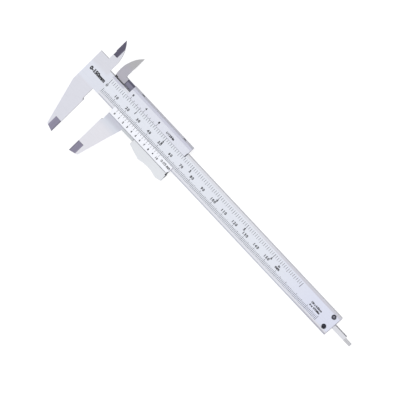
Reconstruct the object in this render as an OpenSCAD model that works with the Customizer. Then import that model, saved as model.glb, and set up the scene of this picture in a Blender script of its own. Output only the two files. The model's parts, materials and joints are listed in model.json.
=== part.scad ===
// Vernier caliper with a thumb clamp and a depth rod, shown a little way open.
// X runs along the beam, Y points to the inside jaws and Z out of the graduated face.
// Modules draw in beam coordinates: x = 0 on the fixed outside measuring face, y = 0 on the
// beam's lower edge and z = 0 halfway through the beam. What rides on the slider is drawn with
// x = 0 on the moving measuring face, and then carried along the beam by the opening.
// The finished part stands on z = 0, centred on X and Y.

/* [Beam] */
// Height of the beam
beam_h = 16; // [15.5:0.1:16.5]
// Thickness of the beam and of the jaws
beam_t = 3.5; // [3.2:0.1:3.8]
// Distance from the fixed measuring face to the far end of the beam
beam_end = 215.6; // [212:0.2:230]
// Width of the head, from the measuring face to the closed end
head_w = 14.2; // [14.1:0.1:16]
// Height of the head's shoulder above the beam's lower edge
head_top = 21; // [20.8:0.1:22]
// Depth of the recessed graduated face
scale_recess = 0.12; // [0.05:0.01:0.2]
// Width of the rail below the graduated face, with its chamfer
lower_rail = 2.3; // [2:0.1:2.5]
// Width of the rail above the graduated face
upper_rail = 1.1; // [1:0.1:1.3]

/* [Jaws] */
// Reach of the outside jaws below the beam
jaw_depth = 40; // [38:0.5:44]
// Width of the outside jaws just above the tip
jaw_tip_w = 5.6; // [5.2:0.1:6.5]
// Width of the inside jaws at their root
inner_w = 6.5; // [6:0.1:6.6]
// Distance from the outside measuring face back to the inside measuring edge
inner_edge = 7.5; // [7:0.1:7.6]
// Radius of the inside jaws' curved back
inner_r = 22; // [21:0.5:24]

/* [Slider] */
// Opening between the outside jaws
opening = 16.5; // [0.02:0.01:150]
// Largest opening, where the slider meets the stop plate
max_opening = 150; // [140:1:150]
// Distance from the moving measuring face to the far end of the slider
slider_len = 54.9; // [54:0.1:55]
// Height of the slider's top face above the beam's lower edge
slider_top = 20.8; // [20.6:0.1:20.8]
// Depth of the slider's body below the beam's lower edge
slider_drop = 5; // [5:0.1:5.4]
// Height of the window between the two verniers
window_h = 10.4; // [10:0.1:10.8]
// Distance from the beam's middle plane to the slider's back
back_z = 3.4; // [3.3:0.1:3.6]
// Distance from the beam's middle plane to the crest of each vernier face
front_z = 3.1; // [3:0.1:3.3]

/* [Depth rod] */
// Width of the depth rod
rod_w = 3.5; // [3.2:0.1:3.6]
// Thickness of the depth rod
rod_t = 1.4; // [1.2:0.1:1.4]
// Length of the rod's narrow tip
rod_tip_len = 5.6; // [4:0.2:8]
// Width of the rod's narrow tip
rod_tip_w = 2.2; // [1.8:0.1:2.4]

/* [Thumb clamp] */
// Place of the lever's near end along the slider
lever_start = 24.5; // [24.5:0.1:25.2]
// Place of the lever's far end along the slider
lever_end = 55.4; // [55:0.1:55.4]
// Lowest point of the two finger crests below the beam's lower edge
crest_y = -10.3; // [-11.2:0.1:-9.9]
// Hollow between the two crests
saddle_depth = 1.2; // [0.8:0.1:1.6]
// Diameter of the pin that the lever turns on
pivot_d = 2; // [1.6:0.1:2]

/* [Hidden] */
$fn = 96;
e = 1;                  // how far a cutter runs past what it cuts
half_t = beam_t / 2;
slip = 0.05;            // running clearance on a face
fit = 0.02;             // clearance on the beam's two guiding edges

chrome = [0.80, 0.80, 0.84];
bright = [0.90, 0.90, 0.93];
steel = [0.62, 0.62, 0.64];
dark_steel = [0.16, 0.16, 0.18];
brass = [0.78, 0.62, 0.32];
lever_grey = [0.84, 0.86, 0.85];

// outside jaws
relief = 0.9;           // undercut of the measuring faces next to the beam
relief_y = -9.2;
face_top_y = -10.1;
jaw_corner_y = -37.7;
jaw_root_y = -5;
moving_root_w = 14.6;   // width of the moving jaw at its root
moving_tip_w = jaw_tip_w + 0.7;
bevel_w = 4.6;          // ground bevels on the jaw tips
bevel_y = -30.3;
bevel_edge = 0.55;      // half thickness left at the measuring face
wheel_r = 25;           // radius of the wheel that ground them

// inside jaws
inner_arc_y = 21.8;     // where the curved back begins
inner_tip_y = inner_arc_y + sqrt(pow(inner_r, 2) - pow(inner_r - inner_w, 2));
inner_relief = 0.4;     // undercut of the fixed inside jaw below its measuring edge
moving_inner_relief = 0.2;
inner_relief_y = 27.8;
inner_bevel_w = 3.8;
inner_bevel_y = 25.2;
inner_bevel_edge = 0.3;
inner_root_r = 0.8;     // round between the moving inside jaw and its base
layer_gap = 0.03;       // from the middle plane to each inside jaw's flat face

// beam details
scale_start = 3;        // where the graduated face is recessed from
end_chamfer = 0.5;      // on the front edge of the beam's far end
chamfer_start = 4;
chamfer_w = 0.9;
chamfer_t = 0.45;
groove_w = rod_w + 0.4;
groove_t = rod_t + 0.2;
groove_start = 14;
mid_y = beam_h / 2;

// slider details, along the slider from its measuring face
slider_start = relief;
lip_z = half_t + 0.3;   // thin edge of each vernier face
channel_z = half_t + slip;
gib_t = 0.8;
channel_top = beam_h + gib_t + 0.1;
strip_y = -2.5;         // lower edge of the lower vernier face
strip_root_r = 1;       // round between the lower vernier face's wall and the slider's front
crest_top_y = 18.9;     // crest of the upper vernier face
outer_top_z = 2.6;
outer_round = 0.6;      // on the slider's top front edge
back_chamfer = 0.4;
base_gap = 0.2;         // between the moving inside jaw's base and the beam
base_cut = base_gap + 0.3; // reach of the chamfer on the base's lower front edge
recess_start = -5.5;
recess_t = 0.7;
strip_corner = [1.4, 1.6];
gib_screw_x = [8.5, 46.7];
gib_screw_d = 2.5;
gib_screw_hole_d = 2.6;
gib_screw_depth = 0.05; // how far the gib screws sit below the slider's top
gib_slot_t = 0.7;

// depth rod and its screw
rod_start = 38;
rod_screw_x = 43;
rod_back_z = -half_t + 0.1;
rod_screw_d = 2;
rod_head_d = 3.4;
rod_head_t = 0.8;

// stop plate and its screws
plate_gap = 0.8;        // between the slider at its largest opening and the plate
plate_inset = 0.2;
plate_t = 1.6;
plate_margin = 1.2;
end_screw_inset = 4.4;
end_screw_y = [3.8, 12.8];
end_screw_d = 2;
end_hole_d = 2.2;
end_head_d = 2.9;
end_head_t = 0.85;
end_bore_d = 3.5;
end_bore_t = 1.05;
slot_w = 0.5;

// thumb clamp
pocket_start = lever_start - 0.2;
web_t = 1;              // wall between the beam and the lever's pocket
lever_top = -2;
lever_heel = -2.2;
lever_half_t = half_t - 0.15;
pivot = [39.5, -3.6];
pivot_clear = 0.1;      // on the diameter
pivot_skin = 0.7;       // left in front of the lever's blind bore
lever_corner = -7.3;
lever_cut = [1.4, 2.2]; // taken off the lever's corner at the open end of its pocket
lever_chamfer = 0.35;
crest_x = [35.4, 51.1];
crest_r = 3;
shoe_x = 29;
shoe_d = 2.4;
shoe_len = 1.48;
nose_r = 1;
nose_gap = 0.05;
spring_x = 49;
spring_seat_d = 2.6;
spring_d = 2.2;
wire_d = 0.34;
spring_turns = 7;
spring_top = -web_t + 0.5;
spring_foot = -6;

// where the whole part is put
low_y = -jaw_depth;
centre_x = (beam_end + opening - head_w) / 2;
centre_y = (inner_tip_y + low_y) / 2;

module placed() translate([-centre_x, -centre_y, back_z]) children();
module on_slider() placed() translate([opening, 0, 0]) children();

// a flat shape drawn on XY and given its thickness between two heights
module slab(z0, z1) translate([0, 0, z0]) linear_extrude(z1 - z0) children();
// a profile drawn as [y, z] and run along X
module along_x(x0, x1) translate([x0, 0, 0]) rotate([90, 0, 90]) linear_extrude(x1 - x0) children();
module box(low, high) translate(low) cube(high - low);
// a cylinder between two heights
module post(p, d, z0, z1) translate([p[0], p[1], z0]) cylinder(d = d, h = z1 - z0);
// a cylinder along Y
module post_y(x, z, d, y0, y1) translate([x, y1, z]) rotate([90, 0, 0]) cylinder(d = d, h = y1 - y0);

function arc(c, r, a0, a1, n) =
    [for (i = [0:n]) c + r * [cos(a0 + (a1 - a0) * i / n), sin(a0 + (a1 - a0) * i / n)]];
// bearing of one point from another, between -360 and 0 degrees
function bearing(from, to) =
    let (a = atan2(to[1] - from[1], to[0] - from[0])) a > 0 ? a - 360 : a;
// bearing from a circle's centre to the point where a line from p touches it
function touch(c, r, p, side) = bearing(c, p) + side * acos(r / norm(p - c));
// centre of a circle of radius r through a and b, on the left of the way from a to b
function centre_on_left(a, b, r) =
    let (d = b - a, l = norm(d))
    (a + b) / 2 + [-d[1], d[0]] / l * sqrt(r * r - l * l / 4);

// ---- jaws, drawn with the measuring edge on x = 0 and the jaw's back towards +X ----

module outside_jaw_outline(root_w, tip_w) polygon([
    [relief, 0], [relief, relief_y], [0, face_top_y], [0, -jaw_depth],
    [tip_w, jaw_corner_y], [root_w, jaw_root_y], [root_w, 0]
]);

// the curved back runs on down to the beam unless the jaw has a straight foot
module inside_jaw_outline(undercut, straight_foot) difference() {
    union() {
        if (straight_foot) translate([0, beam_h]) square([inner_w, inner_arc_y - beam_h]);
        intersection() {
            translate([0, beam_h]) square([inner_w, inner_r]);
            translate([inner_w - inner_r, inner_arc_y]) circle(r = inner_r, $fn = 256);
        }
    }
    translate([-e, 0]) square([e + undercut, inner_relief_y]);
}

// what fills an inner corner, which lies at the origin, with a round of radius r
module inner_round(r) difference() {
    square(r);
    translate([r, r]) circle(r = r);
}

// takes the front edge off an end that faces +X
module front_chamfer(x, z, size, y0, y1) translate([0, y1, 0]) rotate([90, 0, 0]) linear_extrude(y1 - y0)
    polygon([[x - size - e, z + e], [x + e, z + e], [x + e, z - size - e]]);

// the hollow that a grinding wheel leaves between the full thickness and the thin edge
module wheel_cut(w, edge, y0, y1) {
    c = centre_on_left([0, edge], [w, half_t], wheel_r);
    intersection() {
        box([-e, y0, 0], [w, y1, beam_t]);
        translate([c[0], y1 + e, c[1]]) rotate([90, 0, 0])
            cylinder(r = wheel_r, h = y1 - y0 + 2 * e, $fn = 180);
    }
}

module outside_tip_bevels() for (side = [0, 1]) mirror([0, 0, side])
    wheel_cut(bevel_w, bevel_edge, low_y - e, bevel_y);

module inside_tip_bevel() wheel_cut(inner_bevel_w, inner_bevel_edge, inner_bevel_y, inner_tip_y + e);

// ---- beam ----

module end_screw_places(y) translate([beam_end - end_screw_inset, y, 0]) children();

module main_beam() color(chrome) placed() difference() {
    union() {
        box([-head_w, 0, -half_t], [beam_end, beam_h, half_t]);
        slab(-half_t, half_t) mirror([1, 0]) outside_jaw_outline(head_w, jaw_tip_w);
        box([-head_w, beam_h - e, layer_gap], [-inner_edge + inner_relief, head_top, half_t]);
        slab(layer_gap, half_t) translate([-inner_edge, 0]) inside_jaw_outline(inner_relief, true);
    }
    mirror([1, 0, 0]) outside_tip_bevels();
    translate([-inner_edge, 0, 0]) inside_tip_bevel();
    // graduated face between its rails
    box([scale_start, lower_rail, half_t - scale_recess], [beam_end + e, beam_h - upper_rail, half_t + e]);
    along_x(chamfer_start, beam_end + e)
        polygon([[-e, half_t + e], [-e, half_t - chamfer_t], [0, half_t - chamfer_t],
                 [chamfer_w, half_t], [chamfer_w, half_t + e]]);
    front_chamfer(beam_end, half_t, end_chamfer, -e, beam_h + e);
    // groove for the depth rod
    box([groove_start, mid_y - groove_w / 2, -half_t - e],
        [beam_end + e, mid_y + groove_w / 2, -half_t + groove_t]);
    post([groove_start, mid_y], groove_w, -half_t - e, -half_t + groove_t);
    for (y = end_screw_y) end_screw_places(y) {
        post([0, 0], end_hole_d, -half_t - e, half_t + e);
        post([0, 0], end_bore_d, half_t - scale_recess - end_bore_t, half_t + e);
    }
}

module rod_stop_plate() color(steel) placed() difference() {
    box([max_opening + slider_len + plate_gap, plate_margin, -half_t - plate_t],
        [beam_end - plate_inset, beam_h - plate_margin, -half_t]);
    for (y = end_screw_y) end_screw_places(y)
        post([0, 0], end_screw_d, -half_t - plate_t - e, -half_t + e);
}

// a slotted cheese-head screw with its head up and the head's underside on z = 0
module cheese_screw(slot_turn) {
    shank = end_bore_t - beam_t + scale_recess - plate_t + 0.1;
    difference() {
        post([0, 0], end_head_d, 0, end_head_t);
        rotate(slot_turn)
            box([-end_head_d, -slot_w / 2, end_head_t / 2], [end_head_d, slot_w / 2, end_head_t + e]);
    }
    post([0, 0], end_screw_d, shank, 0);
}

module stop_screw(y, slot_turn) color(dark_steel) placed() end_screw_places(y)
    translate([0, 0, half_t - scale_recess - end_bore_t]) cheese_screw(slot_turn);

module stop_screw_lower() stop_screw(end_screw_y[0], 70);
module stop_screw_upper() stop_screw(end_screw_y[1], 20);

// ---- slider ----

module slider_profile() polygon(concat(
    [[-slider_drop, -back_z + back_chamfer], [-slider_drop, half_t]],
    arc([strip_y - strip_root_r, half_t + strip_root_r], strip_root_r, 270, 360, 6),
    [[strip_y, front_z], [mid_y - window_h / 2, lip_z], [mid_y - window_h / 2, channel_z],
     [-fit, channel_z], [-fit, -channel_z], [channel_top, -channel_z], [channel_top, channel_z],
     [mid_y + window_h / 2, channel_z], [mid_y + window_h / 2, lip_z], [crest_top_y, front_z]],
    arc([slider_top - outer_round, outer_top_z - outer_round], outer_round, 90, 0, 4),
    [[slider_top, -back_z + back_chamfer], [slider_top - back_chamfer, -back_z],
     [back_chamfer - slider_drop, -back_z]]
));

module lever_pocket() {
    box([pocket_start, -slider_drop - e, -channel_z], [slider_len + e, -web_t, channel_z]);
    post_y(shoe_x, 0, shoe_d + 2 * slip, -web_t - e, e);
    post_y(spring_x, 0, spring_seat_d, -web_t - e, spring_top);
    post(pivot, pivot_d, -back_z - e, 0);
}

module slider() color(bright) on_slider() difference() {
    union() {
        along_x(slider_start, slider_len) slider_profile();
        slab(-half_t, half_t) outside_jaw_outline(moving_root_w, moving_tip_w);
        slab(-half_t, -layer_gap) {
            translate([-inner_edge, 0]) mirror([1, 0]) inside_jaw_outline(moving_inner_relief, false);
            translate([-inner_edge - e, beam_h + base_gap])
                square([inner_edge + slider_start + 2 * e, slider_top - beam_h - base_gap]);
            translate([-inner_edge - moving_inner_relief, slider_top]) inner_round(inner_root_r);
        }
    }
    // the jaw's plane below the beam, and its base above it, stay clear of the beam
    box([-inner_edge - inner_w - e, -fit, -half_t - slip],
        [slider_start + e, beam_h + base_gap, half_t + slip]);
    along_x(-inner_edge - inner_w - e, recess_start)
        polygon([[beam_h, e], [beam_h + base_cut + e, e], [beam_h, -layer_gap - base_cut]]);
    outside_tip_bevels();
    mirror([0, 0, 1]) translate([-inner_edge, 0, 0]) mirror([1, 0, 0]) inside_tip_bevel();
    box([recess_start, beam_h, -recess_t], [slider_start, slider_top + e, half_t]);
    for (x = gib_screw_x) post_y(x, 0, gib_screw_hole_d, channel_top - e, slider_top + e);
    lever_pocket();
    // far corner of the lower vernier face
    slab(channel_z, front_z + e) translate([slider_len, strip_y]) polygon([
        [e, -e], [e, strip_corner[1] + e], [0, strip_corner[1]], [-strip_corner[0], 0], [-strip_corner[0], -e]
    ]);
    // countersink and hole for the rod's screw
    post([rod_screw_x, mid_y], rod_screw_d, -back_z - e, 0);
    translate([rod_screw_x, mid_y, -back_z])
        cylinder(d1 = rod_head_d, d2 = rod_screw_d, h = rod_head_t);
}

module gib_strip() color(brass) on_slider()
    box([slider_start + 1, beam_h + fit, 0.1 - half_t], [slider_len - 1, beam_h + fit + gib_t, half_t - 0.1]);

module gib_screw(x) color(dark_steel) on_slider() difference() {
    post_y(x, 0, gib_screw_d, beam_h + fit + gib_t, slider_top - gib_screw_depth);
    box([x - gib_screw_d, slider_top - gib_screw_depth - gib_slot_t, -slot_w / 2],
        [x + gib_screw_d, slider_top, slot_w / 2]);
}

module gib_screw_left() gib_screw(gib_screw_x[0]);
module gib_screw_right() gib_screw(gib_screw_x[1]);

// ---- depth rod ----

module depth_rod() color(steel) on_slider() difference() {
    box([rod_start, mid_y - rod_w / 2, rod_back_z], [beam_end, mid_y + rod_w / 2, rod_back_z + rod_t]);
    box([beam_end - rod_tip_len, mid_y - rod_w / 2 + rod_tip_w, rod_back_z - e],
        [beam_end + e, mid_y + rod_w, rod_back_z + rod_t + e]);
    post([rod_screw_x, mid_y], rod_screw_d, rod_back_z - e, rod_back_z + rod_t + e);
}

module rod_screw() color(dark_steel) on_slider() translate([rod_screw_x, mid_y, 0]) difference() {
    union() {
        translate([0, 0, -back_z + slip])
            cylinder(d1 = rod_head_d - 2 * slip, d2 = rod_screw_d - 2 * slip, h = rod_head_t - slip);
        post([0, 0], rod_screw_d - 2 * slip, -back_z + rod_head_t / 2, rod_back_z + rod_t - slip);
    }
    rotate(35)
        box([-rod_head_d, -slot_w / 2, -back_z - e], [rod_head_d, slot_w / 2, -back_z + rod_head_t / 2]);
}

// ---- thumb clamp ----

// two finger crests joined by a hollow that is tangent to both
function saddle_r() =
    let (h = (crest_x[1] - crest_x[0]) / 2, d = crest_r - saddle_depth)
    (h * h + d * d - crest_r * crest_r) / (2 * (crest_r - d));

module lever_outline() {
    near = [crest_x[0], crest_y + crest_r];
    far = [crest_x[1], crest_y + crest_r];
    r = saddle_r();
    saddle = [(crest_x[0] + crest_x[1]) / 2, crest_y + saddle_depth - r];
    start = [lever_start, lever_corner];
    end = [lever_end, crest_y + saddle_depth];
    polygon(concat(
        [[lever_start, lever_top], start],
        arc(near, crest_r, touch(near, crest_r, start, 1), bearing(near, saddle), 8),
        arc(saddle, r, bearing(saddle, near), bearing(saddle, far), 12),
        arc(far, crest_r, bearing(far, saddle), touch(far, crest_r, end, -1), 8),
        [end, [lever_end, lever_heel - lever_cut[1]], [lever_end - lever_cut[0], lever_heel],
         [pivot[0], lever_top]]
    ));
    translate([shoe_x, -shoe_len - fit - nose_gap - nose_r]) circle(r = nose_r);
}

module thumb_lever() color(lever_grey) on_slider() difference() {
    slab(-lever_half_t, lever_half_t) lever_outline();
    post(pivot, pivot_d + pivot_clear, -lever_half_t - e, lever_half_t - pivot_skin);
    post_y(spring_x, 0, spring_seat_d, spring_foot, lever_top + e);
    front_chamfer(lever_end, lever_half_t, lever_chamfer, crest_y - e, lever_top);
}

module lever_pin() color(steel) on_slider()
    post(pivot, pivot_d, -back_z + slip, lever_half_t - pivot_skin - slip);

module brake_shoe() color(brass) on_slider() post_y(shoe_x, 0, shoe_d, -fit - shoe_len, -fit);

// a round wire swept along a helix whose axis runs along Y, with closed flat ends
module clamp_spring() color(steel) on_slider() {
    steps = 16;
    sides = 8;
    coil_r = (spring_d - wire_d) / 2;
    rings = spring_turns * steps;
    y0 = spring_foot + wire_d / 2 + 0.02;
    rise = spring_top - spring_foot - wire_d - 0.04;
    points = [for (i = [0:rings], j = [0:sides - 1])
        let (a = 360 * i / steps, b = 360 * j / sides, r = coil_r + wire_d / 2 * cos(b))
        [spring_x + r * cos(a), y0 + rise * i / rings + wire_d / 2 * sin(b), r * sin(a)]];
    walls = [for (i = [0:rings - 1], j = [0:sides - 1])
        let (k = (j + 1) % sides, m = i * sides)
        [m + j, m + k, m + sides + k, m + sides + j]];
    first = [for (j = [0:sides - 1]) sides - 1 - j];
    last = [for (j = [0:sides - 1]) rings * sides + j];
    polyhedron(points, concat(walls, [first, last]), convexity = 10);
}

main_beam();
rod_stop_plate();
stop_screw_upper();
stop_screw_lower();
slider();
gib_strip();
gib_screw_left();
gib_screw_right();
depth_rod();
rod_screw();
thumb_lever();
lever_pin();
clamp_spring();
brake_shoe();
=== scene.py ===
"""Finishes, engraved marks and studio for the vernier caliper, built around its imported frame."""
import json
import math

import bmesh
import bpy
from mathutils import Matrix, Vector
from mathutils.bvhtree import BVHTree


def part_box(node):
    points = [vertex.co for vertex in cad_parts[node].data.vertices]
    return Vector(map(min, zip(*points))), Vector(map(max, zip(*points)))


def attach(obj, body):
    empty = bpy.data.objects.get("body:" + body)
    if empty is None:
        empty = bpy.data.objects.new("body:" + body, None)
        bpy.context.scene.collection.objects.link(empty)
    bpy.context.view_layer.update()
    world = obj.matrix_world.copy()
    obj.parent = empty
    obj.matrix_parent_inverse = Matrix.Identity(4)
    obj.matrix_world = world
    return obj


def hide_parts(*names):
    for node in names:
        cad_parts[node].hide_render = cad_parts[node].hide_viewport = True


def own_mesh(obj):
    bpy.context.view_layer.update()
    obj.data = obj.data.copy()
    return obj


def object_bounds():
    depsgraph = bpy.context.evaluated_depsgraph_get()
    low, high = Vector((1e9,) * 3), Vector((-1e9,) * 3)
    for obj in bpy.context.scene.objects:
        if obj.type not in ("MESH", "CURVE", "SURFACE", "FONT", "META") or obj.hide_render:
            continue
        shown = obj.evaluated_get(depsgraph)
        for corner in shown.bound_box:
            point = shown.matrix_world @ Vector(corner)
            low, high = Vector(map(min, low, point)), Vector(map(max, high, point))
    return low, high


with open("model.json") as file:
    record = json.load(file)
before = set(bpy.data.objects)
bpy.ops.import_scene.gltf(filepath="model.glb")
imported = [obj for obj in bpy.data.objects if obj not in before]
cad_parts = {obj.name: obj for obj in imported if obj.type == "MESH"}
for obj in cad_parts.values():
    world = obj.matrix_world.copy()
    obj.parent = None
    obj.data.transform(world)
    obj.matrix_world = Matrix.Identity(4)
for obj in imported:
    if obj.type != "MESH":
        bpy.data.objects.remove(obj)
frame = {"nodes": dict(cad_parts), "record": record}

CAD_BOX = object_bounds()
MM = 0.001
INCH = 25.4 * MM

# ---- datums, taken from the frame ----

MOUNTS = {m["name"]: Vector(m["pos_m"]) for m in frame["record"]["mounts"]}
BEAM_H = 16 * MM
FIXED_X = MOUNTS["outside_fixed_face"].x
MOVING_X = MOUNTS["outside_moving_face"].x
INNER_FIXED_X = MOUNTS["inside_fixed_edge"].x
INNER_MOVING_X = MOUNTS["inside_moving_edge"].x
END_X = MOUNTS["depth_datum_face"].x
MID_Z = MOUNTS["outside_fixed_face"].z
MID_Y = sum(c.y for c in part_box("rod_stop_plate")) / 2
EDGE_Y = MID_Y - BEAM_H / 2
ZERO_OFFSET = 4 * MM          # from a measuring face to its scale's zero
WINDOW_H = 10.4 * MM          # between the two vernier faces
LOWER_LIP_Y = MID_Y - WINDOW_H / 2
UPPER_LIP_Y = MID_Y + WINDOW_H / 2


# ---- node materials ----

SHARP = 0.03 * MM             # how gradually one finish gives way to the next at a crisp border
OPEN = (None, None)           # a range without ends
NOISE_LOW, NOISE_HIGH = 0.3, 0.7    # nearly all of a noise lies between these

# how many cells a noise has in a metre of X, of Y and of Z
BLOTCH = (35, 35, 35)
TARNISH = (120, 120, 120)
GRAIN = (9000, 9000, 9000)
BRUSH_X = (260, 9000, 9000)
BRUSH_Y = (9000, 300, 9000)
BRUSH_Z = (9000, 9000, 300)
DRAWN_WIRE = (600, 600, 600)
SCRATCH_X = (45, 5200, 5200)
SPECKLE = (4000, 4000, 4000)
INK_SPECKLE = (2500, 2500, 2500)

SCRATCH_FROM = 0.74           # only the crests of the scratches' noise are scratches
SCRATCH_FADE = 0.06
SCRATCH_SHARE = 0.12          # how much of its own grey a scratch shows
WALL_ROUGH = 0.26
RELIEF = 0.004 * MM
FINE_RELIEF = 0.003 * MM

# the walls' colour, darker than the faces: part ground finish, part painted shade
GROUND_EDGE_SHADE = (0.13, 0.13, 0.15)
SCRATCH_GREY = (0.4, 0.4, 0.44)
OXIDE_DARK = (0.008, 0.008, 0.01)
OXIDE_LIGHT = (0.016, 0.016, 0.02)


def new_material(name):
    """A node material and its tree, with a Principled shader linked to the output."""
    material = bpy.data.materials.new(name)
    material.use_nodes = True
    tree = material.node_tree
    tree.nodes.clear()
    output = tree.nodes.new("ShaderNodeOutputMaterial")
    shader = tree.nodes.new("ShaderNodeBsdfPrincipled")
    tree.links.new(shader.outputs[0], output.inputs[0])
    return material, tree, shader


def feed(tree, socket, value):
    """Links a socket into an input, or sets the input to a plain value."""
    if isinstance(value, bpy.types.NodeSocket):
        tree.links.new(value, socket)
    elif isinstance(value, tuple) and len(value) == 3 and socket.type == "RGBA":
        socket.default_value = (*value, 1.0)
    else:
        socket.default_value = value


def calculate(tree, operation, a, b=0.0):
    """A Math node's result."""
    node = tree.nodes.new("ShaderNodeMath")
    node.operation = operation
    feed(tree, node.inputs[0], a)
    feed(tree, node.inputs[1], b)
    return node.outputs[0]


def product(tree, factors):
    total = factors[0]
    for factor in factors[1:]:
        total = calculate(tree, "MULTIPLY", total, factor)
    return total


def mix_colour(tree, factor, a, b):
    node = tree.nodes.new("ShaderNodeMix")
    node.data_type = "RGBA"
    feed(tree, node.inputs["Factor"], factor)
    feed(tree, node.inputs[6], a)
    feed(tree, node.inputs[7], b)
    return node.outputs[2]


def mix_number(tree, factor, a, b):
    node = tree.nodes.new("ShaderNodeMix")
    node.data_type = "FLOAT"
    feed(tree, node.inputs["Factor"], factor)
    feed(tree, node.inputs[2], a)
    feed(tree, node.inputs[3], b)
    return node.outputs[0]


def noise(tree, place, cells, detail=2.0):
    """Noise with a number of cells in a metre of each axis."""
    mapping = tree.nodes.new("ShaderNodeMapping")
    mapping.inputs["Scale"].default_value = cells
    tree.links.new(place, mapping.inputs["Vector"])
    node = tree.nodes.new("ShaderNodeTexNoise")
    node.inputs["Scale"].default_value = 1.0
    node.inputs["Detail"].default_value = detail
    node.inputs["Roughness"].default_value = 0.5
    tree.links.new(mapping.outputs[0], node.inputs["Vector"])
    return node.outputs["Fac"]


def spread(tree, value, low, high):
    """Maps a noise onto low to high."""
    node = tree.nodes.new("ShaderNodeMapRange")
    node.inputs["From Min"].default_value = NOISE_LOW
    node.inputs["From Max"].default_value = NOISE_HIGH
    node.inputs["To Min"].default_value = low
    node.inputs["To Max"].default_value = high
    tree.links.new(value, node.inputs["Value"])
    return node.outputs[0]


def bump(tree, shader, height, distance):
    node = tree.nodes.new("ShaderNodeBump")
    node.inputs["Strength"].default_value = 1.0
    node.inputs["Distance"].default_value = distance
    tree.links.new(height, node.inputs["Height"])
    tree.links.new(node.outputs[0], shader.inputs["Normal"])


def past(tree, axis, edge, soft):
    """0 below a place on an axis and 1 above it, rising smoothly over a distance."""
    node = tree.nodes.new("ShaderNodeMapRange")
    node.interpolation_type = "SMOOTHSTEP"
    node.inputs["From Min"].default_value = edge - soft / 2
    node.inputs["From Max"].default_value = edge + soft / 2
    tree.links.new(axis, node.inputs["Value"])
    return node.outputs[0]


def box_mask(tree, axes, ranges, soft):
    """1 inside a box of the row frame and 0 outside it. None leaves a side open, and Z borders stay sharp."""
    tests = []
    for axis, (low, high), border in zip(axes, ranges, (*soft, SHARP)):
        if low is not None:
            tests.append(past(tree, axis, low, border))
        if high is not None:
            tests.append(calculate(tree, "SUBTRACT", 1.0, past(tree, axis, high, border)))
    return product(tree, tests)


def object_place(tree):
    """The point in the row frame at rest: a CAD node's own coordinates, which ride with it."""
    return tree.nodes.new("ShaderNodeTexCoord").outputs["Object"]


def split(tree, vector):
    node = tree.nodes.new("ShaderNodeSeparateXYZ")
    tree.links.new(vector, node.inputs[0])
    return node.outputs


class Zone:
    """A box of the row frame with its own finish or painted shade. Its X and Y borders are equally soft, or
    soft is a pair.

    lines is how far the brushed lines lighten and darken its colour.
    """

    def __init__(self, colour, rough, x=OPEN, y=OPEN, z=OPEN, soft=SHARP, lines=0.12):
        self.colour, self.rough, self.lines = colour, rough, lines
        self.ranges = (x, y, z)
        self.soft = soft if isinstance(soft, tuple) else (soft, soft)


def scaled(colour, factor):
    return tuple(min(1.0, c * factor) for c in colour)


def zoned(tree, axes, streak, tint, gloss, zones):
    """Lays the zones' finishes and painted shade over a colour and a roughness, one after the other."""
    for zone in zones:
        mask = box_mask(tree, axes, zone.ranges, zone.soft)
        darker, lighter = scaled(zone.colour, 1 - zone.lines), scaled(zone.colour, 1 + zone.lines)
        lined = mix_colour(tree, streak, darker, lighter)
        tint = mix_colour(tree, mask, tint, lined)
        gloss = mix_number(tree, mask, gloss, zone.rough)
    return tint, gloss


def machined_metal(name, colour, rough, faces=(), walls=()):
    """Satin faces with a fine grain and faint scratches, ground walls painted darker as shade, and zones of
    other finishes and of painted shade.
    """
    material, tree, shader = new_material(name)
    place = object_place(tree)
    axes = split(tree, place)
    blotch = noise(tree, place, BLOTCH, detail=3.0)
    grain = noise(tree, place, GRAIN, detail=1.0)
    lines = noise(tree, place, BRUSH_X)
    scratch = past(tree, noise(tree, place, SCRATCH_X, detail=0.0), SCRATCH_FROM, SCRATCH_FADE)
    geometry = tree.nodes.new("ShaderNodeNewGeometry")
    upright = calculate(tree, "ABSOLUTE", split(tree, geometry.outputs["True Normal"])[2])
    wall = calculate(tree, "LESS_THAN", upright, 0.5)
    mottle = spread(tree, blotch, 0.0, 1.0)
    streak = spread(tree, lines, 0.0, 1.0)

    tint = mix_colour(tree, mottle, colour, scaled(colour, 0.97))
    gloss = calculate(tree, "ADD", spread(tree, blotch, -0.03, 0.03), rough)
    tint, gloss = zoned(tree, axes, streak, tint, gloss, faces)
    # walls take the darker colour: part ground finish, part painted shade
    side = mix_colour(tree, streak, scaled(GROUND_EDGE_SHADE, 0.9), scaled(GROUND_EDGE_SHADE, 1.1))
    side, side_gloss = zoned(tree, axes, streak, side, WALL_ROUGH, walls)
    tint = mix_colour(tree, wall, tint, side)
    gloss = mix_number(tree, wall, gloss, side_gloss)
    tint = mix_colour(tree, product(tree, [scratch, SCRATCH_SHARE]), tint, SCRATCH_GREY)
    tree.links.new(tint, shader.inputs["Base Color"])
    tree.links.new(gloss, shader.inputs["Roughness"])
    shader.inputs["Metallic"].default_value = 1.0
    relief = calculate(tree, "ADD", product(tree, [grain, 0.5]), product(tree, [lines, 0.5]))
    bump(tree, shader, relief, RELIEF)
    return material


def plain_metal(name, colour, rough, lay, darken=0.8):
    """A bare metal with drawn or ground lines and a little tarnish."""
    material, tree, shader = new_material(name)
    place = object_place(tree)
    lines = noise(tree, place, lay)
    blotch = noise(tree, place, TARNISH, detail=3.0)
    tint = mix_colour(tree, spread(tree, blotch, 0.0, 1.0), colour, scaled(colour, darken))
    tree.links.new(tint, shader.inputs["Base Color"])
    tree.links.new(spread(tree, lines, rough - 0.04, rough + 0.06), shader.inputs["Roughness"])
    shader.inputs["Metallic"].default_value = 1.0
    bump(tree, shader, lines, RELIEF)
    return material


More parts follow.
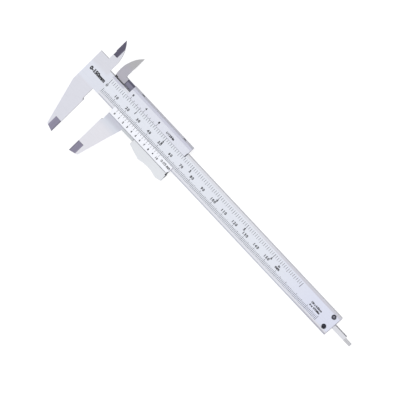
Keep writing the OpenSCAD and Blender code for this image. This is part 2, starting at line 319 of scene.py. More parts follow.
def black_oxide(name):
    """Dull black steel, with almost no sheen."""
    material, tree, shader = new_material(name)
    speckle = noise(tree, object_place(tree), SPECKLE)
    tint = mix_colour(tree, spread(tree, speckle, 0.0, 1.0), OXIDE_DARK, OXIDE_LIGHT)
    tree.links.new(tint, shader.inputs["Base Color"])
    shader.inputs["Roughness"].default_value = 0.5
    shader.inputs["Specular IOR Level"].default_value = 0.12
    bump(tree, shader, speckle, FINE_RELIEF)
    return material


def ink(name, colour):
    """Paint in the engraved marks: matte, a little uneven."""
    material, tree, shader = new_material(name)
    speckle = noise(tree, object_place(tree), INK_SPECKLE, detail=3.0)
    tint = mix_colour(tree, spread(tree, speckle, 0.0, 1.0), colour, tuple(c * 1.6 + 0.01 for c in colour))
    tree.links.new(tint, shader.inputs["Base Color"])
    tree.links.new(spread(tree, speckle, 0.5, 0.7), shader.inputs["Roughness"])
    bump(tree, shader, speckle, FINE_RELIEF)
    return material


# ---- finishes of the CAD nodes, with painted shade and painted highlights ----

SATIN = (0.80, 0.825, 0.90)
SATIN_HEAD = (0.755, 0.76, 0.815)
SATIN_JAW = (0.775, 0.78, 0.84)
SATIN_SCALE = (0.835, 0.864, 0.926)
SATIN_RAIL = (0.81, 0.82, 0.87)
UPPER_RAIL = (0.763, 0.772, 0.82)
UPPER_RAIL_HEAD = (0.60, 0.605, 0.70)
SCALE_FAR = (0.78, 0.805, 0.925)
UPPER_RAIL_FAR = (0.655, 0.65, 0.715)
LOWER_RAIL_FAR = (0.61, 0.60, 0.655)
# the beam's top wall: ground, and painted darker as shade
BEAM_WALL = (0.28, 0.28, 0.31)
SATIN_MOVING_JAW = (0.83, 0.825, 0.87)
# painted shade on the moving jaw, darker and bluer towards the lower vernier face, deepest at its root
JAW_BLUE_SHADE = (0.73, 0.76, 0.83)
JAW_ROOT_SHADE = (0.625, 0.64, 0.715)
# painted shade on the ledge under the lower vernier face
LEDGE_SHADE = (0.628, 0.652, 0.675)
ROOT_SHADE = (0.34, 0.345, 0.37)
LOWER_VERNIER = (0.87, 0.885, 0.93)
UPPER_VERNIER = (0.90, 0.92, 1.0)
# painted shade in a thin line along the upper vernier face's lip
VERNIER_LIP_SHADE = (0.50, 0.50, 0.56)
# painted shade on the slider's outer bevel, tinted lilac
OUTER_LILAC_SHADE = (0.605, 0.612, 0.70)
# the moving inside jaw's face, darker than the front faces, and greyer towards its tip
LAYER_FACE_DARK = (0.48, 0.469, 0.518)
LAYER_TIP = (0.48, 0.478, 0.485)
# near-black painted shade on the walls of the moving inside jaw's layer, in the gap above the beam
LAYER_WALL_SHADE = (0.05, 0.05, 0.06)
# the recess floor, darker than the front faces, with painted shade along its edges
RECESS_FLOOR_DARK = (0.24, 0.235, 0.31)
RECESS_BORDER_SHADE = (0.12, 0.115, 0.16)
# the slider's top wall: ground, and painted darker as shade, less dark towards its far end
SLIDER_WALL = (0.27, 0.27, 0.32)
SLIDER_WALL_FAR = (0.37, 0.365, 0.42)
TIP_GROUND = (0.316, 0.298, 0.39)
# painted shade along a ground tip's measuring edge and under its shoulder
TIP_BORDER_SHADE = (0.16, 0.15, 0.2)
INNER_TIP_GROUND = (0.159, 0.148, 0.204)
# the ground end breaks of the beam and the slider, painted darker as shade at their ends
END_BREAK_SHADE = (0.42, 0.41, 0.47)
SHADOW = (0.012, 0.012, 0.016)
LEVER_STEEL = (0.85, 0.872, 0.897)
# painted shade on the lever's edge breaks
LEVER_RIM_SHADE = (0.52, 0.54, 0.55)
ROD_STEEL = (0.77, 0.775, 0.815)
ROD_TIP = (0.6, 0.6, 0.62)
# painted shade along the depth rod's upper edge and on its walls
ROD_EDGE_SHADE = (0.12, 0.12, 0.14)
ROD_WALL_SHADE = (0.04, 0.04, 0.05)
PLATE_STEEL = (0.62, 0.62, 0.66)
PIN_STEEL = (0.6, 0.6, 0.62)
WIRE_STEEL = (0.5, 0.5, 0.54)
WORN_CHROME = (0.86, 0.86, 0.89)
BRASS = (0.72, 0.53, 0.25)
# black screw heads, with painted highlights in their middles
HEAD_BLACK = (0.02, 0.02, 0.035)
HEAD_HIGHLIGHT_GREY = (0.34, 0.34, 0.40)
HEAD_HIGHLIGHT_DARK = (0.07, 0.07, 0.09)

SATIN_ROUGH = 0.36
RAIL_ROUGH = 0.33
VERNIER_ROUGH = 0.38
GROUND_ROUGH = 0.3
SHADOW_ROUGH = 0.4

TOP = MID_Z + 1.5 * MM         # every face above this height is one of the front faces
SCALE_TOP = MID_Z + 1.69 * MM  # between the graduated face and its rails
SCALE_FACE = (TOP, SCALE_TOP)
SCALE_X = FIXED_X + 3 * MM
BEAM_Y = (EDGE_Y, EDGE_Y + BEAM_H)
SCALE_FAR_X = FIXED_X + 175 * MM
RAIL_HEAD_X = (SCALE_X, SCALE_X + 10 * MM)
UPPER_RAIL_FAR_X = FIXED_X + 155 * MM
LOWER_RAIL_FAR_X = FIXED_X + 190 * MM
HEAD_Y = EDGE_Y + 12.5 * MM
LOWER_RAIL_Y = (EDGE_Y, EDGE_Y + 1.5 * MM)
UPPER_RAIL_Y = (EDGE_Y + 14.3 * MM, EDGE_Y + BEAM_H)
BEAM_TOP_WALL_Y = (EDGE_Y + 15.8 * MM, EDGE_Y + 16.2 * MM)
SKIN = 0.02 * MM               # keeps a bevel's zone off the wall next to it
BEVEL_W = 4.6 * MM
BEVEL_Y = EDGE_Y - 30.3 * MM
BEVEL_BORDER = 0.5 * MM
BEVEL_RIM = 0.35 * MM
INNER_BEVEL_W = 3.8 * MM
INNER_BEVEL_Y = (EDGE_Y + 25.2 * MM, None)
INNER_BEVEL_GAP = 0.2 * MM     # from the plane where the inside jaws pass each other

FACET_Z = MID_Z + 1.9 * MM     # the vernier faces lie above this height
FACETS = (FACET_Z, None)
BELOW_FACETS = (TOP, FACET_Z)
LEDGE_Z = (TOP, MID_Z + 2.8 * MM)                # the ledge beside the lower vernier face, and its round
ROOT_Z = (MID_Z + 1.77 * MM, MID_Z + 2.8 * MM)   # the round alone, above the ledge's flat
LEDGE_X = MOVING_X + 14.6 * MM
# where the painted shade on the moving jaw begins and deepens
JAW_BLUE_Y = EDGE_Y - 10.5 * MM
JAW_ROOT_Y = EDGE_Y - 6.8 * MM
STRIP_Y = EDGE_Y - 2.5 * MM
STRIP_ROOT = 1 * MM            # radius of the round under the lower vernier face
CREST_Y = EDGE_Y + 18.9 * MM
SLIDER_END_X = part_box("slider")[1].x
END_SHADE_Y = (EDGE_Y + 13 * MM, EDGE_Y + 16.4 * MM)
SLIDER_TOP_WALL_Y = (EDGE_Y + 20.4 * MM, EDGE_Y + 21 * MM)
SLIDER_BACK_Z = MID_Z - 3.5 * MM
BASE_Y = EDGE_Y + BEAM_H + 0.15 * MM             # the moving inside jaw's base, just above the beam
BASE_CHAMFER_Y = EDGE_Y + BEAM_H + 0.52 * MM
FOOT_X = MOVING_X - 11.4 * MM                    # the shaded corner under its curved back ends here
FOOT_Y = EDGE_Y + 17 * MM
LAYER_TIP_Y = EDGE_Y + 27 * MM
LAYER_Z = (MID_Z - 0.1 * MM, MID_Z)              # the moving inside jaw's front face
LAYER_EDGE_Z = (MID_Z - 0.5 * MM, MID_Z)         # and its chamfer
RECESS_X = (MOVING_X - 5.5 * MM, MOVING_X + 0.9 * MM)
RECESS_Z = (MID_Z - 0.8 * MM, MID_Z - 0.6 * MM)  # round the height of the recess's floor
# width of the painted shade along the recess floor's edges
RECESS_RIM = 0.45 * MM
POCKET_Y = (EDGE_Y - 5 * MM, EDGE_Y - 0.5 * MM)
POCKET_Z = (MID_Z - 1.9 * MM, MID_Z - 1.7 * MM)  # round the height of the lever pocket's floor
LEVER_X = (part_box("thumb_lever")[0].x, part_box("thumb_lever")[1].x)
ROD_TIP_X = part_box("depth_rod")[1].x - 5.6 * MM
ROD_EDGE_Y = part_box("depth_rod")[1].y - 0.4 * MM


def tip_zones(edge_x, side):
    """An outside jaw's ground tip, to one side of its measuring edge, with painted shade along that edge and
    along its top.
    """
    bevel = sorted((edge_x + side * SKIN, edge_x + side * BEVEL_W))
    border = sorted((edge_x, edge_x + side * BEVEL_BORDER))
    tip = (None, BEVEL_Y)
    return (
        Zone(TIP_GROUND, GROUND_ROUGH, x=bevel, y=tip),
        Zone(TIP_BORDER_SHADE, GROUND_ROUGH, x=border, y=tip, soft=0.4 * MM),
        Zone(TIP_BORDER_SHADE, GROUND_ROUGH, x=bevel, y=(BEVEL_Y - BEVEL_RIM, BEVEL_Y), soft=0.1 * MM),
    )


BEAM_FACES = (
    Zone(SATIN_JAW, SATIN_ROUGH, x=(None, SCALE_X), y=(None, EDGE_Y), soft=1.5 * MM, lines=0.02),
    Zone(SATIN_HEAD, SATIN_ROUGH, x=(None, FIXED_X), y=(HEAD_Y, None), soft=3 * MM, lines=0.02),
    Zone(SATIN_RAIL, RAIL_ROUGH, x=(SCALE_X, None), y=BEAM_Y, z=(SCALE_TOP, None), lines=0.04),
    Zone(SATIN_SCALE, SATIN_ROUGH, x=(SCALE_X, None), y=BEAM_Y, z=SCALE_FACE, lines=0.01),
    Zone(UPPER_RAIL, RAIL_ROUGH, x=(SCALE_X, None), y=UPPER_RAIL_Y, z=(TOP, None), soft=0.2 * MM, lines=0.03),
    Zone(UPPER_RAIL_HEAD, RAIL_ROUGH, x=RAIL_HEAD_X, y=UPPER_RAIL_Y, z=(TOP, None), soft=1.2 * MM,
         lines=0.03),
    Zone(SCALE_FAR, SATIN_ROUGH, x=(SCALE_FAR_X, None), y=BEAM_Y, z=SCALE_FACE,
         soft=(60 * MM, SHARP), lines=0.01),
    Zone(UPPER_RAIL_FAR, RAIL_ROUGH, x=(UPPER_RAIL_FAR_X, None), y=UPPER_RAIL_Y, z=(TOP, None),
         soft=(60 * MM, 0.3 * MM), lines=0.03),
    Zone(LOWER_RAIL_FAR, RAIL_ROUGH, x=(LOWER_RAIL_FAR_X, None), y=LOWER_RAIL_Y, z=(TOP, None),
         soft=(40 * MM, 0.3 * MM), lines=0.03),
    Zone(END_BREAK_SHADE, GROUND_ROUGH, x=(END_X - 0.5 * MM, None), soft=0.1 * MM, lines=0.04),
    *tip_zones(FIXED_X, -1),
    Zone(INNER_TIP_GROUND, GROUND_ROUGH, x=(INNER_FIXED_X + SKIN, INNER_FIXED_X + INNER_BEVEL_W),
         y=INNER_BEVEL_Y, z=(MID_Z + INNER_BEVEL_GAP, None)),
)
BEAM_WALLS = (
    Zone(BEAM_WALL, 0.12, y=BEAM_TOP_WALL_Y),
    Zone(SHADOW, SHADOW_ROUGH, x=(FIXED_X, FIXED_X + 12 * MM), y=BEAM_TOP_WALL_Y, soft=2 * MM),
)
SLIDER_FACES = (
    Zone(SATIN_MOVING_JAW, SATIN_ROUGH, y=(None, STRIP_Y), z=(None, FACET_Z), soft=0.1 * MM, lines=0.02),
    Zone(JAW_BLUE_SHADE, SATIN_ROUGH, y=(JAW_BLUE_Y, None), z=BELOW_FACETS, soft=8 * MM, lines=0.02),
    Zone(JAW_ROOT_SHADE, SATIN_ROUGH, y=(JAW_ROOT_Y, None), z=BELOW_FACETS, soft=3.5 * MM, lines=0.02),
    Zone(LEDGE_SHADE, SATIN_ROUGH, x=(LEDGE_X, None), z=LEDGE_Z, soft=1.5 * MM, lines=0.03),
    Zone(ROOT_SHADE, 0.34, x=(LEVER_X[0], None), y=(STRIP_Y - STRIP_ROOT, STRIP_Y + SKIN),
         z=ROOT_Z, soft=0.2 * MM, lines=0.05),
    Zone(LOWER_VERNIER, VERNIER_ROUGH, y=(STRIP_Y, MID_Y), z=FACETS, lines=0.01),
    Zone(UPPER_VERNIER, VERNIER_ROUGH, y=(MID_Y, CREST_Y), z=FACETS, lines=0.01),
    Zone(VERNIER_LIP_SHADE, VERNIER_ROUGH, y=(MID_Y, UPPER_LIP_Y + 0.25 * MM), z=FACETS, soft=0.1 * MM, lines=0.01),
    Zone(OUTER_LILAC_SHADE, 0.34, y=(CREST_Y, None), z=FACETS, soft=0.8 * MM, lines=0.04),
    Zone(END_BREAK_SHADE, GROUND_ROUGH, x=(SLIDER_END_X - 0.4 * MM, None), z=FACETS, soft=0.1 * MM),
    Zone(SHADOW, 0.5, x=(SLIDER_END_X - 0.6 * MM, None), y=END_SHADE_Y, z=FACETS, soft=0.3 * MM),
    *tip_zones(MOVING_X, 1),
    Zone(LAYER_FACE_DARK, GROUND_ROUGH, x=(None, RECESS_X[0]), y=(BASE_Y, None), z=LAYER_Z, lines=0.04),
    Zone(LAYER_TIP, GROUND_ROUGH, x=(None, RECESS_X[0]), y=(LAYER_TIP_Y, None), z=LAYER_Z,
         soft=6 * MM, lines=0.04),
    Zone(SHADOW, SHADOW_ROUGH, x=(None, RECESS_X[0]), y=(BASE_Y, BASE_CHAMFER_Y), z=LAYER_EDGE_Z),
    Zone(SHADOW, SHADOW_ROUGH, x=(None, FOOT_X), y=(BASE_Y, FOOT_Y), z=LAYER_EDGE_Z, soft=0.3 * MM),
    Zone(INNER_TIP_GROUND, GROUND_ROUGH, x=(INNER_MOVING_X - INNER_BEVEL_W, INNER_MOVING_X - SKIN),
         y=INNER_BEVEL_Y, z=(None, MID_Z - INNER_BEVEL_GAP)),
    Zone(RECESS_BORDER_SHADE, GROUND_ROUGH, x=RECESS_X, y=(BASE_Y, None), z=RECESS_Z),
    Zone(RECESS_FLOOR_DARK, GROUND_ROUGH, x=(RECESS_X[0] + RECESS_RIM, RECESS_X[1] - RECESS_RIM),
         y=(BASE_Y + RECESS_RIM, CREST_Y + RECESS_RIM), z=RECESS_Z, soft=0.5 * MM),
    Zone(SHADOW, 0.5, x=(LEVER_X[0], None), y=POCKET_Y, z=POCKET_Z),
)
SLIDER_WALLS = (
    Zone(SLIDER_WALL, 0.22, y=SLIDER_TOP_WALL_Y, z=(SLIDER_BACK_Z, None)),
    Zone(SLIDER_WALL_FAR, 0.22, x=(MOVING_X + 28 * MM, None), y=SLIDER_TOP_WALL_Y, z=(SLIDER_BACK_Z, None),
         soft=30 * MM),
    Zone(LAYER_WALL_SHADE, GROUND_ROUGH, x=(None, RECESS_X[0]), y=(EDGE_Y + 16.2 * MM, None),
         z=(MID_Z - 1.9 * MM, MID_Z)),
)
LEVER_SHADE = (
    Zone(SHADOW, SHADOW_ROUGH, x=(LEVER_X[1] - 0.4 * MM, None), y=(EDGE_Y - 6.4 * MM, None), soft=0.4 * MM),
    Zone(SHADOW, SHADOW_ROUGH, x=(LEVER_X[1] - 1.3 * MM, None), y=(EDGE_Y - 4.4 * MM, None), soft=0.5 * MM),
)
ROD_FACES = (
    Zone(ROD_TIP, GROUND_ROUGH, x=(ROD_TIP_X, None)),
    Zone(ROD_EDGE_SHADE, GROUND_ROUGH, x=(None, ROD_TIP_X), y=(ROD_EDGE_Y, None), soft=0.15 * MM),
)
ROD_WALLS = (Zone(ROD_WALL_SHADE, GROUND_ROUGH, x=(None, ROD_TIP_X)),)

FINISHES = {
    "main_beam": machined_metal("beam_satin_chrome", SATIN, 0.34, BEAM_FACES, BEAM_WALLS),
    "slider": machined_metal("slider_satin_chrome", SATIN, 0.34, SLIDER_FACES, SLIDER_WALLS),
    "thumb_lever": machined_metal("lever_blasted_steel", LEVER_STEEL, 0.42, LEVER_SHADE, LEVER_SHADE),
    "depth_rod": machined_metal("rod_ground_steel", ROD_STEEL, 0.3, ROD_FACES, ROD_WALLS),
    "rod_stop_plate": plain_metal("plate_ground_steel", PLATE_STEEL, 0.32, BRUSH_X),
    "lever_pin": plain_metal("pin_ground_steel", PIN_STEEL, 0.22, BRUSH_Z),
    "gib_strip": plain_metal("gib_brass", BRASS, 0.3, BRUSH_X),
    "brake_shoe": plain_metal("shoe_brass", BRASS, 0.3, BRUSH_Y),
}


# the size of the painted highlight in a screw head's middle
HIGHLIGHT_RADIUS = 0.85 * MM
HIGHLIGHT_FADE = 0.7 * MM


def worn_head(name, node, centre_colour):
    """Blackened steel with a painted highlight, lighter round the middle of a screw's head."""
    material, tree, shader = new_material(name)
    place = object_place(tree)
    axes = split(tree, place)
    middle = sum(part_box(node), Vector()) / 2
    squares = [product(tree, [calculate(tree, "SUBTRACT", axes[i], middle[i])] * 2) for i in (0, 1)]
    radius = calculate(tree, "SQRT", calculate(tree, "ADD", *squares))
    speckle = noise(tree, place, SPECKLE)
    highlight = mix_colour(tree, spread(tree, speckle, 0.0, 1.0), centre_colour, scaled(centre_colour, 0.7))
    tint = mix_colour(tree, past(tree, radius, HIGHLIGHT_RADIUS, HIGHLIGHT_FADE), highlight, HEAD_BLACK)
    tree.links.new(tint, shader.inputs["Base Color"])
    tree.links.new(spread(tree, speckle, 0.3, 0.45), shader.inputs["Roughness"])
    shader.inputs["Metallic"].default_value = 1.0
    bump(tree, shader, speckle, RELIEF)
    return material


FINISHES["stop_screw_upper"] = worn_head("upper_screw_black_highlight", "stop_screw_upper", HEAD_HIGHLIGHT_GREY)
FINISHES["stop_screw_lower"] = worn_head("lower_screw_black_highlight", "stop_screw_lower", HEAD_HIGHLIGHT_DARK)
BLACK_OXIDE = black_oxide("screw_black_oxide")
for screw in ("gib_screw_left", "gib_screw_right", "rod_screw"):
    FINISHES[screw] = BLACK_OXIDE


def finish_node(name, material, bevel_width, rim=None):
    """Gives a CAD node its material and, on its sharp edges, a fine break that may have one of its own."""
    thing = frame["nodes"][name]
    thing.data.materials.clear()
    thing.data.materials.append(material)
    if rim:
        thing.data.materials.append(rim)
    thing.data.shade_smooth()
    weld = thing.modifiers.new("weld", "WELD")
    weld.merge_threshold = 1e-6
    flats = thing.modifiers.new("flats", "DECIMATE")
    flats.decimate_type = "DISSOLVE"
    flats.angle_limit = math.radians(0.3)
    edges = thing.modifiers.new("edge_break", "BEVEL")
    edges.width = bevel_width
    edges.segments = 2
    edges.limit_method = "ANGLE"
    edges.angle_limit = math.radians(25)
    edges.miter_outer = "MITER_ARC"
    if rim:
        edges.material = 1
    flow = thing.modifiers.new("flat_faces", "WEIGHTED_NORMAL")
    flow.weight = 100


WORN_EDGE = plain_metal("edge_worn_chrome", WORN_CHROME, 0.2, GRAIN, darken=0.9)
# the lever's edge breaks, painted darker as shade
LEVER_EDGE_SHADE = machined_metal("edge_lever_steel_shade", LEVER_RIM_SHADE, 0.36, LEVER_SHADE, LEVER_SHADE)
FINE_BREAK = 0.05 * MM
EDGES = {
    "main_beam": (0.08 * MM, WORN_EDGE),
    "slider": (0.08 * MM, WORN_EDGE),
    "thumb_lever": (0.12 * MM, LEVER_EDGE_SHADE),
    "depth_rod": (0.08 * MM, WORN_EDGE),
}
for node_name, node_material in FINISHES.items():
    finish_node(node_name, node_material, *EDGES.get(node_name, (FINE_BREAK,)))


# ---- faces that carry marks ----

def height_map(name):
    """A search tree over a CAD node's own surface."""
    mesh = frame["nodes"][name].data
    return BVHTree.FromPolygons([v.co for v in mesh.vertices], [p.vertices for p in mesh.polygons])


def top_at(surface, x, y):
    hit = surface.ray_cast(Vector((x, y, 1.0)), Vector((0, 0, -1)))
    return hit[0].z


def mark_face(surface, x, y, y_other):
    """The frame of a flat face, with its origin at (x, y) and its second axis towards higher Y."""
    start = Vector((x, y, top_at(surface, x, y)))
    other = Vector((x, y_other, top_at(surface, x, y_other)))
    along = Vector((1, 0, 0))
    up = (other - start).normalized()
    if up.y < 0:
        up.negate()
    return Matrix.Translation(start) @ Matrix((along, up, along.cross(up))).transposed().to_4x4()


BEAM_TOP = height_map("main_beam")
SLIDER_TOP = height_map("slider")
PROUD = 0.012 * MM            # how far the ink stands out of the metal
SUNK = 0.03 * MM


def add_bar(mesh, face, u, v0, v1, width):
    """A closed bar on a face, centred on u, from v0 to v1 on the face's second axis."""
    low = Vector((u - width / 2, min(v0, v1), -SUNK))
    high = Vector((u + width / 2, max(v0, v1), PROUD))
    made = bmesh.ops.create_cube(mesh, size=1.0)
    size = high - low
    fit = Matrix.Translation((low + high) / 2) @ Matrix.Diagonal((*size, 1.0))
    bmesh.ops.transform(mesh, matrix=face @ fit, verts=made["verts"])


def add_text(mesh, face, text, u, v, height, width=None, bold=0.02, spacing=1.0):
    """Closed lettering centred on (u, v) of a face, scaled to a height and, if given, to a width."""
    curve = bpy.data.curves.new("lettering", "FONT")
    curve.body = text
    curve.offset = bold
    curve.space_character = spacing
    curve.extrude = 0.5
    curve.resolution_u = 3
    thing = bpy.data.objects.new("lettering", curve)
    bpy.context.scene.collection.objects.link(thing)
    evaluated = thing.evaluated_get(bpy.context.evaluated_depsgraph_get())
    shape = bpy.data.meshes.new_from_object(evaluated)
    bpy.data.objects.remove(thing)
    xs = [p.co.x for p in shape.vertices]
    ys = [p.co.y for p in shape.vertices]
    tall = height / (max(ys) - min(ys))
    wide = tall if width is None else width / (max(xs) - min(xs))
    centre = Vector(((max(xs) + min(xs)) / 2, (max(ys) + min(ys)) / 2, 0))
    fit = Matrix.Translation((u, v, (PROUD - SUNK) / 2)) @ Matrix.Diagonal((wide, tall, PROUD + SUNK, 1.0))
    shape.transform(face @ fit @ Matrix.Translation(-centre))
    mesh.from_mesh(shape)
    bpy.data.meshes.remove(shape)


def add_piece(name, mesh, material, body):
    """Turns collected marks into a piece that rides on a body."""
    bmesh.ops.remove_doubles(mesh, verts=mesh.verts, dist=1e-7)
    data = bpy.data.meshes.new(name)
    mesh.to_mesh(data)
    mesh.free()
    data.materials.append(material)
    thing = bpy.data.objects.new(name, data)
    bpy.context.scene.collection.objects.link(thing)
    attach(thing, body)
    return thing


INK_BLACK = ink("ink_black", (0.012, 0.012, 0.016))
INK_GREY = ink("ink_grey", (0.05, 0.05, 0.06))
LONG_LINE_W = 0.3 * MM
METRIC_LINE_W = 0.26 * MM
INCH_LINE_W = 0.22 * MM
VERNIER_LINE_W = 0.2 * MM


def beam_marks():
    """Millimetre scale along the lower rail, inch scale along the upper one."""
    zero = FIXED_X + ZERO_OFFSET
    base = EDGE_Y + 2.4 * MM
    face = mark_face(BEAM_TOP, zero, base, EDGE_Y + 13.6 * MM)
    metric = bmesh.new()
    for mm in range(201):
        length = 3.4 if mm % 10 == 0 else 3.0 if mm % 5 == 0 else 2.6
        add_bar(metric, face, mm * MM, 0.0, length * MM, LONG_LINE_W if mm % 10 == 0 else METRIC_LINE_W)
    add_piece("metric_scale_lines", metric, INK_GREY, "beam")

    inch = bmesh.new()
    top = EDGE_Y + 13.5 * MM - base
    for sixteenth in range(7 * 16 + 1):
        step = 16 if sixteenth % 16 == 0 else math.gcd(sixteenth, 16)
        length = {1: 2.4, 2: 2.6, 4: 2.8, 8: 3.1, 16: 3.8}[step]
        width = LONG_LINE_W if step == 16 else INCH_LINE_W
        add_bar(inch, face, sixteenth * INCH / 16, top, top - length * MM, width)
    add_piece("inch_scale_lines", inch, INK_BLACK, "beam")

    numbers = bmesh.new()
    metric_v = EDGE_Y + 7.4 * MM - base
    inch_v = EDGE_Y + 9.3 * MM - base
    add_text(numbers, face, "0", 0.0, EDGE_Y + 8.4 * MM - base, 2.2 * MM, bold=0.03)
    for mm in range(10, 151, 10):
        add_text(numbers, face, str(mm), mm * MM, metric_v, 2.0 * MM, bold=0.045, spacing=1.3)
    for inches in range(1, 7):
        add_text(numbers, face, str(inches), inches * INCH, inch_v, 1.9 * MM, bold=0.05)
    unit_u = 159.6 * MM
    add_text(numbers, face, "mm", unit_u, metric_v, 1.4 * MM, bold=0.06)
    add_text(numbers, face, "in", unit_u, inch_v, 1.6 * MM, bold=0.05)
    add_piece("beam_scale_numbers", numbers, INK_BLACK, "beam")


def beam_notes():
    """Plain range markings: a bold one on the head, and two fine rows near the far end."""
    head_x = FIXED_X - 5.1 * MM
    head = mark_face(BEAM_TOP, head_x, EDGE_Y + 6.5 * MM, EDGE_Y + 11.5 * MM)
    marks = bmesh.new()
    add_text(marks, head, "0-150mm", 0.0, 2.35 * MM, 2.9 * MM, width=13.2 * MM, bold=0.07)
    far_x = FIXED_X + 198.9 * MM
    far = mark_face(BEAM_TOP, far_x, EDGE_Y + 6.0 * MM, EDGE_Y + 10.0 * MM)
    add_text(marks, far, "150 x 0.05mm", 0.0, 3.25 * MM, 1.45 * MM, width=9.3 * MM, bold=0.06)
    add_text(marks, far, "6 x 1/128in", 0.0, 1.25 * MM, 1.45 * MM, width=9.1 * MM, bold=0.08)
    add_piece("beam_range_marks", marks, INK_BLACK, "beam")


def vernier_marks():
    """Twenty divisions over 39 mm on the lower face, eight over 15/16 inch on the upper one."""
    metric_parts = 20
    metric_step = 39 * MM / metric_parts
    inch_parts = 8
    inch_step = INCH * 15 / 16 / inch_parts
    zero = MOVING_X + ZERO_OFFSET
    edge_gap = 0.15 * MM
    lower = mark_face(SLIDER_TOP, zero, LOWER_LIP_Y - edge_gap, LOWER_LIP_Y - 4.5 * MM)
    upper = mark_face(SLIDER_TOP, zero, UPPER_LIP_Y + edge_gap, UPPER_LIP_Y + 5.0 * MM)
    lines = bmesh.new()
    numbers = bmesh.new()
    for i in range(metric_parts + 1):
        u = i * metric_step
        add_bar(lines, lower, u, 0.0, -(1.2 if i % 2 else 1.9) * MM, VERNIER_LINE_W)
        if i % 2 == 0:
            add_text(numbers, lower, str(i // 2), u, -3.3 * MM, 1.5 * MM, bold=0.06, spacing=1.3)
    for i in range(inch_parts + 1):
        u = i * inch_step
        add_bar(lines, upper, u, 0.0, (1.9 if i % 4 == 0 else 1.3) * MM, INCH_LINE_W)
        if i % 4 == 0:
            add_text(numbers, upper, str(i), u, 3.3 * MM, 1.7 * MM, bold=0.08)
    add_text(numbers, lower, "0.05", 44.1 * MM, -2.0 * MM, 1.8 * MM, width=4.6 * MM, bold=0.02)
    add_text(numbers, lower, "mm", 48.5 * MM, -2.2 * MM, 1.4 * MM, width=3.1 * MM, bold=0.045)
    add_text(numbers, upper, "1/128", 33.9 * MM, 2.6 * MM, 1.7 * MM, width=4.9 * MM, bold=0.05)
    add_text(numbers, upper, "in", 37.5 * MM, 2.6 * MM, 1.7 * MM, width=1.7 * MM, bold=0.08)
    add_piece("vernier_lines", lines, INK_BLACK, "slider")
    add_piece("vernier_numbers", numbers, INK_BLACK, "slider")


beam_marks()
beam_notes()
vernier_marks()


# ---- clamp spring, wound as a smooth wire ----

def clamp_spring():
    """A round-wire coil in the CAD spring's own box."""
    low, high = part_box("clamp_spring")
    wire = 0.17 * MM              # the wire's radius
    turns = 7
    steps = 24                    # rings in a turn
    sides = 10
    radius = (high.x - low.x) / 2 - wire
    centre = (low + high) / 2
    rise = (high.y - low.y) - 2 * wire
    mesh = bmesh.new()
    rings = []
    for i in range(turns * steps + 1):
        angle = 2 * math.pi * i / steps
        out = Vector((math.cos(angle), 0, math.sin(angle)))
        middle = centre + out * radius
        middle.y = low.y + wire + rise * i / (turns * steps)
        ring = []
        for j in range(sides):
            turn = 2 * math.pi * j / sides
            spoke = out * math.cos(turn) + Vector((0, math.sin(turn), 0))
            ring.append(mesh.verts.new(middle + wire * spoke))
        rings.append(ring)
    for ring, following in zip(rings, rings[1:]):
        for j in range(sides):
            k = (j + 1) % sides
            mesh.faces.new((ring[j], ring[k], following[k], following[j]))
    mesh.faces.new(rings[0][::-1])
    mesh.faces.new(rings[-1])
    bmesh.ops.recalc_face_normals(mesh, faces=mesh.faces)
    for face in mesh.faces:
        face.smooth = True
    wire_steel = plain_metal("spring_wire", WIRE_STEEL, 0.25, DRAWN_WIRE)
    coil = add_piece("clamp_spring_coil", mesh, wire_steel, "slider")
    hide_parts("clamp_spring")
    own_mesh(coil)


clamp_spring()


# ---- studio ----

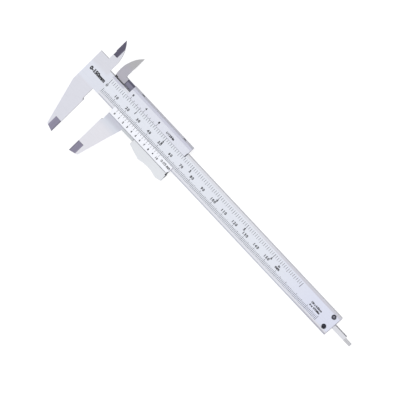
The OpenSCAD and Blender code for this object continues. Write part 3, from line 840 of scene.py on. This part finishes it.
def studio():
    """A plain pale floor under a soft even sky, with one wide lamp above."""
    floor_mesh = bpy.data.meshes.new("floor")
    reach = 6.0
    corners = [(-reach, -reach, 0), (reach, -reach, 0), (reach, reach, 0), (-reach, reach, 0)]
    floor_mesh.from_pydata(corners, [], [(0, 1, 2, 3)])
    floor = bpy.data.objects.new("floor", floor_mesh)
    floor.location.z = CAD_BOX[0].z - 0.02 * MM
    bpy.context.scene.collection.objects.link(floor)
    material, tree, shader = new_material("pale_floor")
    shader.inputs["Base Color"].default_value = (0.5, 0.5, 0.5, 1.0)
    shader.inputs["Roughness"].default_value = 0.9
    shader.inputs["Specular IOR Level"].default_value = 0.0
    shader.inputs["Emission Color"].default_value = (1, 1, 1, 1)
    shader.inputs["Emission Strength"].default_value = 0.74
    floor_mesh.materials.append(material)

    world = bpy.data.worlds.new("soft_sky")
    world.use_nodes = True
    tree = world.node_tree
    way = tree.nodes.new("ShaderNodeTexCoord")
    height = split(tree, way.outputs["Generated"])[2]
    ramp = tree.nodes.new("ShaderNodeValToRGB")
    ramp.color_ramp.elements[0].position = 0.0
    ramp.color_ramp.elements[0].color = (0.40, 0.40, 0.44, 1.0)
    ramp.color_ramp.elements[1].position = 1.0
    ramp.color_ramp.elements[1].color = (1.0, 1.0, 1.01, 1.0)
    middle = ramp.color_ramp.elements.new(0.85)
    middle.color = (0.88, 0.88, 0.9, 1.0)
    tree.links.new(height, ramp.inputs[0])
    tree.links.new(ramp.outputs[0], tree.nodes["Background"].inputs["Color"])
    bpy.context.scene.world = world

    lamp = bpy.data.lights.new("softbox", "AREA")
    lamp.shape = "RECTANGLE"
    lamp.size, lamp.size_y = 0.7, 0.35
    lamp.energy = 0.4
    holder = bpy.data.objects.new("softbox", lamp)
    holder.location = (0.0, 0.35, 1.15)
    holder.rotation_euler = (-holder.location).to_track_quat("-Z", "Y").to_euler()
    bpy.context.scene.collection.objects.link(holder)
    bpy.context.scene.view_settings.view_transform = "Standard"


def camera():
    """Looks down on the graduated face with the beam running to the lower right."""
    lens = bpy.data.cameras.new("camera")
    lens.sensor_width = 36.0
    lens.lens = 126.7
    thing = bpy.data.objects.new("camera", lens)
    azimuth, elevation, roll = map(math.radians, (-175.13, 75.64, -137.88))
    distance = 0.9002
    aim = Vector((-10.98 * MM, 2.51 * MM, 5.0 * MM))
    back = Vector((math.sin(azimuth) * math.cos(elevation), -math.cos(azimuth) * math.cos(elevation),
                   math.sin(elevation)))
    right = (-back).cross(Vector((0, 0, 1))).normalized()
    up = right.cross(-back)
    turn = Matrix.Rotation(roll, 3, back)
    axes = Matrix((turn @ right, turn @ up, back)).transposed().to_4x4()
    thing.matrix_world = Matrix.Translation(aim + back * distance) @ axes
    bpy.context.scene.collection.objects.link(thing)
    bpy.context.scene.camera = thing


studio()
camera()
